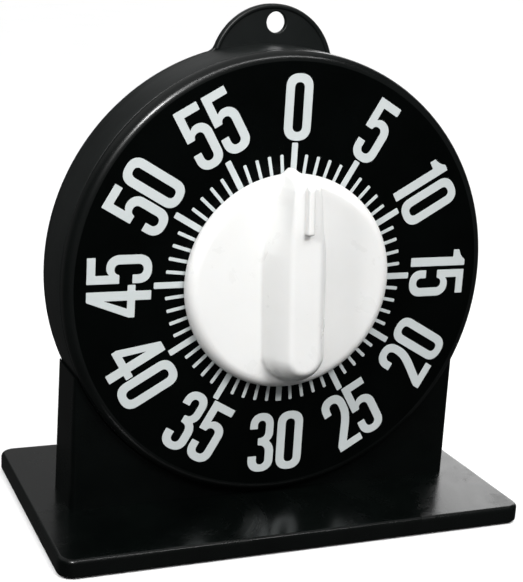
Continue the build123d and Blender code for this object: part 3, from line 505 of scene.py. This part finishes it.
bx, by = (base_hi[0] - base_lo[0]) / 2 / MM, (base_hi[1] - base_lo[1]) / 2 / MM
bcx, bcy = (base_hi[0] + base_lo[0]) / 2, (base_hi[1] + base_lo[1]) / 2
bz0, bz1 = base_lo[2] / MM, base_hi[2] / MM
TOP_R = 1.6
levels = [(1.0, bz0), (0.35, bz0 + 0.1), (0.1, bz0 + 0.35), (0.0, bz0 + 0.8)]
levels += [(TOP_R * (1 - math.cos(math.radians(a))), bz1 - TOP_R + TOP_R * math.sin(math.radians(a))) for a in np.linspace(0, 90, 13)]
verts, faces = [], []
n = None
for inset, z in levels:
    pts = rounded_rect(bx - inset, by - inset, max(6.0 - inset, 2.0), 16)
    n = len(pts)
    verts += [Vector((bcx + x * MM, bcy + y * MM, z * MM)) for x, y in pts]
for k in range(len(levels) - 1):
    for i in range(n):
        j = (i + 1) % n
        faces.append((k * n + i, k * n + j, (k + 1) * n + j, (k + 1) * n + i))
faces.append(tuple(range(n))[::-1])
faces.append(tuple(range((len(levels) - 1) * n, len(levels) * n)))
harden(make("base_slab", verts, faces, MAT["base"], node="base_plate", sharp=50))

# ---------------------------------------------------------------- upright
u0, u1 = (up_lo[1] - DIAL_Y) / MM, (up_hi[1] - DIAL_Y) / MM
uz0 = (up_lo[2] - AX_Z) / MM
uz1 = (up_hi[2] - AX_Z) / MM
hb = (up_hi[0] - up_lo[0]) / 2 / MM
ht = hb - 0.8
seat = DRUM_R + 0.10
corner = 2.5


seat_x = math.sqrt(seat ** 2 - uz1 ** 2)
a_seat = math.degrees(math.asin(seat_x / seat))
loop = [(-hb, uz0), (hb, uz0), (ht, uz1)]
loop += [(seat * math.sin(math.radians(t)), -seat * math.cos(math.radians(t))) for t in np.linspace(a_seat, -a_seat, 161)]
loop += [(-ht, uz1)]
n = len(loop)
bm = bmesh.new()
front = [bm.verts.new(P(x, z, u0)) for x, z in loop]
back = [bm.verts.new(P(x, z, u1)) for x, z in loop]
bm.faces.new(front)
bm.faces.new(back[::-1])
for i in range(n):
    j = (i + 1) % n
    bm.faces.new((front[j], front[i], back[i], back[j]))
bm.normal_update()
bmesh.ops.recalc_face_normals(bm, faces=bm.faces)
corners = {0, 1, 2, n - 1}
pick = []
for ring in (front, back):
    for a, b in ((1, 2), (n - 1, 0)):
        pick.append(bm.edges.get((ring[a], ring[b])))
bmesh.ops.bevel(bm, geom=pick, offset=corner * MM, offset_type="OFFSET", segments=10, profile=0.5, affect="EDGES", clamp_overlap=False)
rim = [e for e in bm.edges if len(e.link_faces) == 2 and e.calc_face_angle(0) > 0.6 and min(v.co.z for v in e.verts) > P(0, uz0, 0).z + 0.002]
bmesh.ops.bevel(bm, geom=rim, offset=0.3 * MM, offset_type="OFFSET", segments=2, profile=0.5, affect="EDGES", clamp_overlap=True)
me = bpy.data.meshes.new("cradle_stand")
bm.to_mesh(me)
bm.free()
me.polygons.foreach_set("use_smooth", [True] * len(me.polygons))
me.set_sharp_from_angle(angle=math.radians(50))
stand = bpy.data.objects.new("cradle_stand", me)
bpy.context.scene.collection.objects.link(stand)
me.materials.append(MAT["upright"])
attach(stand, ROOT)
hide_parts("stand_upright")
harden(stand)


# ---------------------------------------------------------------- printed dial: numerals and minute marks
H = 24.6


def digit(ch):
    """Outline and holes of a numeral in mm, its lower left at 0, 0, and its width."""
    if ch == "0":
        w, h = 10.8, H
        outer = (arc(w / 2, h - 5.2, w / 2, 5.2, 0, 90, 12, 2.35) + arc(w / 2, h - 5.2, w / 2, 5.2, 90, 180, 12, 2.35)[1:]
                 + arc(w / 2, 5.2, w / 2, 5.2, 180, 270, 12, 2.35) + arc(w / 2, 5.2, w / 2, 5.2, 270, 360, 12, 2.35)[1:])
        iw = 3.9
        x0 = w / 2
        inner = (arc(x0, h - 5.3, iw / 2, 2.1, 0, 180, 16, 2.3) + arc(x0, 5.3, iw / 2, 2.1, 180, 360, 16, 2.3))
        return outer, [inner], w
    if ch == "1":
        pts = [(2.95, 0.0), (6.5, 0.0), (6.5, H), (4.15, H), (3.3, 23.5), (2.2, 22.6), (0.9, 22.0), (0.0, 21.7), (0.0, 19.2), (2.95, 19.2)]
        return soften(pts, 0.35), [], 6.5
    if ch == "2":
        w = 10.8
        pts = [(10.7, 0.0), (10.75, 3.1), (4.35, 3.1)]
        pts += [(5.5, 4.95), (6.7, 6.9), (7.8, 8.6), (8.75, 10.25), (9.55, 11.9), (10.2, 13.6), (10.65, 15.4), (10.8, 17.2)]
        pts += arc(5.55, 18.9, 5.25, 5.7, 0, 180, 22, 2.25)
        pts += [(0.25, 17.1), (3.5, 17.1)]
        pts += arc(5.55, 18.8, 2.0, 2.4, 180, 0, 14, 2.15)
        pts += [(7.5, 17.2), (7.2, 15.6), (6.6, 13.9), (5.7, 12.1), (4.6, 10.2), (3.3, 8.1), (2.0, 6.0), (0.7, 3.9), (0.0, 2.6), (0.0, 0.0)]
        return soften(pts, 0.3), [], w
    if ch == "3":
        w = 10.6
        pts = [(0.35, 18.1)]
        pts += arc(5.25, 19.4, 4.9, 5.2, 180, 0, 22, 2.25)
        pts += [(10.15, 16.6), (10.0, 15.2), (9.5, 13.9), (8.55, 12.75), (9.6, 11.6), (10.3, 10.2), (10.6, 8.6)]
        pts += arc(5.3, 5.1, 5.3, 5.1, 0, -180, 22, 2.25)
        pts += [(0.0, 6.7), (3.55, 6.7)]
        pts += arc(5.3, 5.0, 1.8, 1.95, -180, 0, 12, 2.15)
        pts += [(7.1, 8.3), (6.95, 9.4), (6.4, 10.4), (5.5, 11.0), (3.9, 11.25), (3.9, 14.15), (5.4, 14.3), (6.35, 14.9), (6.8, 15.9), (6.9, 17.0)]
        pts += arc(5.25, 19.5, 1.7, 1.95, 0, 180, 12, 2.15)
        pts += [(3.6, 18.1)]
        return soften(pts, 0.3), [], w
    if ch == "4":
        outer = [(6.45, 0.0), (9.95, 0.0), (9.95, 6.1), (12.2, 6.1), (12.2, 9.1), (9.95, 9.1), (9.95, H), (6.15, H), (0.0, 8.4), (0.0, 6.1), (6.45, 6.1)]
        inner = [(6.45, 18.0), (6.45, 9.1), (3.35, 9.1)]
        return soften(outer, 0.35), [soften(inner, 0.2, 2)], 12.2
    if ch == "5":
        w = 10.6
        pts = [(0.0, H), (0.0, 12.35), (3.1, 12.35), (3.35, 12.75)]
        pts += arc(5.2, 12.2, 1.95, 2.05, 160, 0, 12, 2.2)
        pts += arc(5.2, 5.2, 1.95, 2.0, 0, -180, 14, 2.15)
        pts += [(3.25, 7.35), (0.0, 7.35)]
        pts += arc(5.3, 5.2, 5.3, 5.2, -180, 0, 22, 2.3)
        pts += arc(5.6, 12.0, 5.0, 5.35, 0, 90, 12, 2.2)[1:]
        pts += [(4.7, 17.2), (3.8, 16.8), (3.15, 16.2), (3.15, 21.4), (9.75, 21.4), (9.75, H)]
        return soften(pts, 0.3), [], w
    raise KeyError(ch)


INK_T = 0.07
ink_v, ink_f = [], []


def print_shape(outer, holes, to2, dst_v, dst_f):
    def to3(u, v, d):
        x, z = to2(u, v)
        return P(x, z, d)
    sv, sf = slab(outer, holes, to3, -INK_T, 0.05, 0.03, 1)
    k = len(dst_v)
    dst_v += sv
    dst_f += [tuple(i + k for i in q) for q in sf]


# number, gap between its figures, sideways shift of its middle, height of its middle
numbers = {0: (0.45, 0.32), 5: (0.4, 0.25), 10: (-0.4, 0.35), 15: (-0.5, 0.25), 20: (0.9, 0.05), 25: (-0.05, 0.0), 30: (-0.05, 0.15),
           35: (-0.2, 0.1), 40: (-0.35, 0.1), 45: (0.2, 0.3), 50: (0.1, 0.35), 55: (0.65, 0.35)}
gaps = {10: 1.7, 15: 1.6, 20: 1.2, 25: 0.65, 30: 1.25, 35: 1.25, 40: 0.55, 45: 0.6, 50: 0.9, 55: 1.05}
for value, (du, dv) in numbers.items():
    ang = math.radians(value * 6)
    rad = (math.sin(ang), math.cos(ang))
    upv = rad if value in (0, 5, 10, 15, 45, 50, 55) else (-rad[0], -rad[1])
    rgt = (upv[1], -upv[0])
    shapes = [digit(c) for c in str(value)]
    total = sum(s[2] for s in shapes) + (len(shapes) - 1) * gaps.get(value, 0)
    u = -total / 2 + du
    ctr = (rad[0] * 65.0, rad[1] * 65.0)
    vs = 1.0 if value in (0, 5, 10, 50, 55) else 0.985
    for outer, inner, w in shapes:
        def to2(a, b, u=u, ctr=ctr, upv=upv, rgt=rgt, dv=dv, vs=vs):
            a2, b2 = a + u, (b - H / 2) * vs + dv
            return ctr[0] + rgt[0] * a2 + upv[0] * b2, ctr[1] + rgt[1] * a2 + upv[1] * b2
        print_shape(outer, inner, to2, ink_v, ink_f)
        u += w + gaps.get(value, 0)
make("dial_numerals", ink_v, ink_f, MAT["ink"], sharp=30)

tick_v, tick_f = [], []
for k in range(60):
    ang = math.radians(k * 6)
    rad = (math.sin(ang), math.cos(ang))
    rgt = (rad[1], -rad[0])
    major = k % 5 == 0
    r1 = 52.3 if major and k != 30 else 48.1
    half = 1.2 if major else 0.66
    pts = soften([(-half, 36.0), (half, 36.0), (half, r1), (-half, r1)], 0.45, 3)
    print_shape(pts, [], lambda a, b, rad=rad, rgt=rgt: (rad[0] * b + rgt[0] * a, rad[1] * b + rgt[1] * a), tick_v, tick_f)
make("dial_minute_marks", tick_v, tick_f, MAT["ink"], sharp=30)


# ---------------------------------------------------------------- knob, as one smooth moulded form
def smin(a, b, k):
    h = np.clip(0.5 + 0.5 * (b - a) / k, 0, 1)
    return b + (a - b) * h - k * h * (1 - h)


def smax(a, b, k):
    return -smin(-a, -b, k)


KR, KB, KF = 41.2, 0.9, 6.6
TOP, FIN, FIN_W, FIN_Z = 19.6, 22.6, 1.3, 22.0
END_Z = -25.45


def knob_field(x, h, z):
    r = np.sqrt(x * x + z * z)
    # disc with a full rounded rim and a very slightly dished face
    rho = 4.3
    face = KF - 0.28 * np.clip(1 - (r / 35.0) ** 2, 0, 1)
    qx, qy = r - (KR - rho), h - (face - rho)
    disc = np.minimum(np.maximum(qx, qy), 0) + np.sqrt(np.maximum(qx, 0) ** 2 + np.maximum(qy, 0) ** 2) - rho
    disc = smax(disc, KB - h, 0.7)
    # grip: steep foot, flanks leaning in towards the top, full height as far as the pointer's steep end
    t = np.clip((h - KF) / (TOP - KF), 0, 1.05)
    wb = np.interp(z, [10, 14, 18, 22, 26, 31, 35, 38, 41.0, 42.6, 43.4], [12.1, 11.9, 11.1, 9.9, 8.7, 7.1, 6.2, 5.3, 3.5, 1.9, 0.9])
    wt = np.interp(z, [22, 31, 35, 38, 41.0, 42.6], [5.95, 5.85, 5.6, 5.0, 3.0, 1.2])
    bulge = 0.78 * t ** 2.2 + 0.22 * t
    w = wb + (np.minimum(wt, wb) - wb) * bulge
    low = z < END_Z
    side = np.where(low, np.sqrt(x * x + (z - END_Z) ** 2), np.abs(x)) - w
    side = side * 0.92
    grip = smax(side, h - TOP, 1.3)
    end_z = np.interp(h, [4.0, 7.0, 12.0, 17.5, TOP], [43.0, 42.7, 41.9, 40.6, 39.9])
    grip = smax(grip, (z - end_z) * 0.95, 1.5)
    grip = smax(grip, KB + 1.0 - h, 0.5)
    # pointer fin along its middle
    fin_end = np.interp(h, [5.0, 12.0, TOP, FIN], [42.9, 42.2, 40.5, 39.3])
    fin = smax(np.abs(x) - FIN_W, h - FIN, 0.7)
    fin = smax(fin, FIN_Z - z, 0.6)
    fin = smax(fin, (z - fin_end) * 0.95, 0.9)
    fin = smax(fin, 3.0 - h, 0.4)
    grip = smin(grip, fin, 0.55)
    # nib past the rim
    wn = np.interp(z, [36, 41.0, 43.4], [3.4, 2.9, 0.45])
    nib = smax((np.abs(x) - wn) * 0.8, z - 43.4, 0.5)
    nib = smax(nib, h - 5.4, 0.8)
    nib = smax(nib, KB - h, 0.3)
    nib = smax(nib, 30.0 - z, 0.3)
    body = smin(smin(disc, grip, 1.1), nib, 0.8)
    # hollow underside with hub and ribs
    ring = np.maximum(np.maximum(r - 36.7, 9.0 - r), h - (KB + 3.2))
    ring = np.maximum(ring, 1.1 - np.minimum(np.abs(x), np.abs(z)))
    body = smax(body, -ring, 0.4)
    bore = np.maximum(r - 3.0, h - 14.4)
    return smax(body, -bore, 0.25)


def surface(field, lo, hi, step, newton=3):
    ax = [np.arange(lo[i], hi[i] + step, step) for i in range(3)]
    X, Y, Z = np.meshgrid(*ax, indexing="ij")
    F = field(X, Y, Z)
    S = F < 0
    nx, ny, nz = F.shape
    acc = np.zeros((nx - 1, ny - 1, nz - 1, 3))
    cnt = np.zeros((nx - 1, ny - 1, nz - 1))
    cells = (slice(0, nx - 1), slice(0, ny - 1), slice(0, nz - 1))

    def corner_of(o):
        return tuple(slice(o[i], o[i] + s - 1) for i, s in enumerate((nx, ny, nz)))
    for axis in range(3):
        others = [i for i in range(3) if i != axis]
        for a in (0, 1):
            for b in (0, 1):
                o0 = [0, 0, 0]; o0[others[0]] = a; o0[others[1]] = b
                o1 = list(o0); o1[axis] = 1
                f0, f1 = F[corner_of(o0)], F[corner_of(o1)]
                m = (f0 < 0) != (f1 < 0)
                t = np.where(m, f0 / np.where(m, f0 - f1, 1.0), 0.0)
                for i in range(3):
                    val = np.full(f0.shape, float(o0[i])) if i != axis else t
                    acc[..., i] += np.where(m, val, 0.0)
                cnt += m
    act = cnt > 0
    idx = -np.ones(act.shape, int)
    idx[act] = np.arange(act.sum())
    g = np.argwhere(act)
    pts = (g + acc[act] / cnt[act][:, None]) * step + np.array(lo)
    faces = []
    for axis in range(3):
        others = [i for i in range(3) if i != axis]
        sl0 = [slice(1, s - 1) for s in (nx, ny, nz)]
        sl0[axis] = slice(0, (nx, ny, nz)[axis] - 1)
        sl1 = list(sl0)
        sl1[axis] = slice(1, (nx, ny, nz)[axis])
        s0, s1 = S[tuple(sl0)], S[tuple(sl1)]
        m = s0 != s1
        e = np.argwhere(m)
        off = [1, 1, 1]; off[axis] = 0
        base = e + np.array(off)
        q = []
        for a, b in ((-1, -1), (0, -1), (0, 0), (-1, 0)):
            c = base.copy()
            c[:, others[0]] += a
            c[:, others[1]] += b
            q.append(idx[c[:, 0], c[:, 1], c[:, 2]])
        q = np.stack(q, 1)
        flip = s0[m] if axis != 1 else ~s0[m]
        q[~flip] = q[~flip][:, ::-1]
        faces.append(q)
    faces = np.concatenate(faces)
    e = 0.02
    for _ in range(newton):
        x, y, z = pts.T
        f0 = field(x, y, z)
        gx = (field(x + e, y, z) - field(x - e, y, z)) / (2 * e)
        gy = (field(x, y + e, z) - field(x, y - e, z)) / (2 * e)
        gz = (field(x, y, z + e) - field(x, y, z - e)) / (2 * e)
        gg = np.maximum(gx * gx + gy * gy + gz * gz, 0.25)
        stepv = np.clip(f0 / gg, -step * 0.5, step * 0.5)
        pts = pts - np.stack([gx, gy, gz], 1) * stepv[:, None]
    return pts, faces


STEP = 0.5
pts, quads = surface(knob_field, (-42.5, 0.1, -42.5), (42.5, 24.0, 44.8), STEP)
REST = math.radians(3.0)           # the pointer rests this far before the 0 mark
cr, sr = math.cos(REST), math.sin(REST)
kv = [P(x * cr - z * sr, x * sr + z * cr, -h) for x, h, z in pts]
make("grip_knob", kv, quads, MAT["knob"], body="knob_shaft", node="knob", sharp=60)

# ---------------------------------------------------------------- floor and light
fm, nt, b, co = tree("floor_pale")
b.inputs["Specular IOR Level"].default_value = 0.1
n = noise(nt, co, 6.0, 4.0, 0.5)
c = ramp(nt, n.outputs["Fac"], [(0.3, (0.88, 0.88, 0.88)), (0.7, (0.90, 0.90, 0.90))])
nt.links.new(c.outputs["Color"], b.inputs["Base Color"])
b.inputs["Roughness"].default_value = 0.9
fme = bpy.data.meshes.new("floor")
S = 60.0
fme.from_pydata([(-S, -S, 0), (S, -S, 0), (S, S, 0), (-S, S, 0)], [], [(0, 1, 2, 3)])
floor = bpy.data.objects.new("floor", fme)
bpy.context.scene.collection.objects.link(floor)
fme.materials.append(fm)
floor.visible_glossy = False
floor.visible_diffuse = False


def sun(name, toward, strength, angle, colour=(1, 1, 1)):
    """A far soft source; toward points from the object to it."""
    d = bpy.data.lights.new(name, "SUN")
    d.energy = strength
    d.angle = math.radians(angle)
    d.color = colour
    o = bpy.data.objects.new(name, d)
    bpy.context.scene.collection.objects.link(o)
    o.rotation_mode = "QUATERNION"
    o.rotation_quaternion = Vector(toward).to_track_quat("Z", "Y")
    return o


over = sun("overhead", (0.0, -0.02, 1.0), 2.75, 110.0)
over.visible_glossy = False
kd = bpy.data.lights.new("key", "AREA")
kd.shape = "DISK"
kd.size = 0.13
kd.energy = 3.4
key = bpy.data.objects.new("key", kd)
bpy.context.scene.collection.objects.link(key)
key.location = (-0.26, -0.57, 0.56)
key.rotation_mode = "QUATERNION"
strip = bpy.data.lights.new("strip", "AREA")
strip.shape = "RECTANGLE"
strip.size = 0.75
strip.size_y = 0.05
strip.energy = 1.7
so = bpy.data.objects.new("strip", strip)
bpy.context.scene.collection.objects.link(so)
so.location = (0.04, -0.46, 0.74)
so.rotation_mode = "QUATERNION"
so.rotation_quaternion = (Vector((0.0, 0.0, 0.12)) - so.location).to_track_quat("-Z", "Y")
key.rotation_quaternion = (Vector((0.0, 0.0, 0.10)) - key.location).to_track_quat("-Z", "Y")
near = bpy.data.lights.new("side_fill", "AREA")
near.shape = "DISK"
near.size = 0.08
near.energy = 0.84
near_o = bpy.data.objects.new("side_fill", near)
bpy.context.scene.collection.objects.link(near_o)
near_o.location = (-0.34, -0.21, 0.32)
near_o.rotation_mode = "QUATERNION"
near_o.rotation_quaternion = (Vector((0.0, -0.04, 0.10)) - near_o.location).to_track_quat("-Z", "Y")
near_o.visible_glossy = False
key.visible_diffuse = False
front = bpy.data.lights.new("front_fill", "AREA")
front.shape = "DISK"
front.size = 0.22
front.energy = 2.85
front_o = bpy.data.objects.new("front_fill", front)
bpy.context.scene.collection.objects.link(front_o)
front_o.location = (0.10, -0.57, 0.56)
front_o.rotation_mode = "QUATERNION"
front_o.rotation_quaternion = (Vector((0.0, 0.0, 0.10)) - front_o.location).to_track_quat("-Z", "Y")
front_o.visible_glossy = False
low = bpy.data.lights.new("low_fill", "AREA")
low.shape = "DISK"
low.size = 0.16
low.energy = 0.08
low_o = bpy.data.objects.new("low_fill", low)
bpy.context.scene.collection.objects.link(low_o)
low_o.location = (-0.12, -0.28, 0.015)
low_o.rotation_mode = "QUATERNION"
low_o.rotation_quaternion = (Vector((0.0, -0.03, 0.08)) - low_o.location).to_track_quat("-Z", "Y")
low_o.visible_glossy = False
for lamp in (key, so, near_o, front_o, low_o):
    lamp.visible_camera = False

world = bpy.data.worlds.new("studio")
bpy.context.scene.world = world
world.use_nodes = True
wt = world.node_tree
wt.nodes.clear()
wout = wt.nodes.new("ShaderNodeOutputWorld")
soft = wt.nodes.new("ShaderNodeBackground")
white = wt.nodes.new("ShaderNodeBackground")
mixw = wt.nodes.new("ShaderNodeMixShader")
path = wt.nodes.new("ShaderNodeLightPath")
white.inputs["Color"].default_value = (1.0, 1.0, 1.0, 1.0)
white.inputs["Strength"].default_value = 1.0
soft.inputs["Strength"].default_value = 1.0
wco = wt.nodes.new("ShaderNodeTexCoord")


def lobe(direction, width, level):
    """A soft round patch of light on the studio's walls."""
    v = Vector(direction).normalized()
    dot = wt.nodes.new("ShaderNodeVectorMath"); dot.operation = "DOT_PRODUCT"
    wt.links.new(wco.outputs["Generated"], dot.inputs[0])
    dot.inputs[1].default_value = v
    r = wt.nodes.new("ShaderNodeMapRange")
    r.interpolation_type = "SMOOTHERSTEP"
    r.inputs["From Min"].default_value = math.cos(math.radians(width))
    r.inputs["From Max"].default_value = math.cos(math.radians(width * 0.25))
    r.inputs["To Min"].default_value = 0.0
    r.inputs["To Max"].default_value = level
    wt.links.new(dot.outputs["Value"], r.inputs["Value"])
    return r.outputs["Result"]


total = None
for args in (((0.62, 0.76, 0.22), 22, 3.0), ((-0.75, 0.62, 0.10), 40, 0.05), ((0.22, 0.88, 0.42), 20, 0.24), ((-0.15, 0.25, 1.0), 62, 0.36), ((0.2, -0.9, 0.25), 80, 0.045)):
    o = lobe(*args)
    if total is None:
        total = o
    else:
        a = wt.nodes.new("ShaderNodeMath"); a.operation = "ADD"
        wt.links.new(total, a.inputs[0]); wt.links.new(o, a.inputs[1])
        total = a.outputs["Value"]
a = wt.nodes.new("ShaderNodeMath"); a.operation = "ADD"
wt.links.new(total, a.inputs[0]); a.inputs[1].default_value = 0.03
wt.links.new(a.outputs["Value"], soft.inputs["Color"])
wt.links.new(path.outputs["Is Camera Ray"], mixw.inputs["Fac"])
wt.links.new(soft.outputs["Background"], mixw.inputs[1])
wt.links.new(white.outputs["Background"], mixw.inputs[2])
wt.links.new(mixw.outputs["Shader"], wout.inputs["Surface"])
vs_ = bpy.context.scene.view_settings
vs_.view_transform = "Standard"
vs_.look = "None"
vs_.exposure = 0.0

# ---------------------------------------------------------------- final view layer update
bpy.context.view_layer.update()
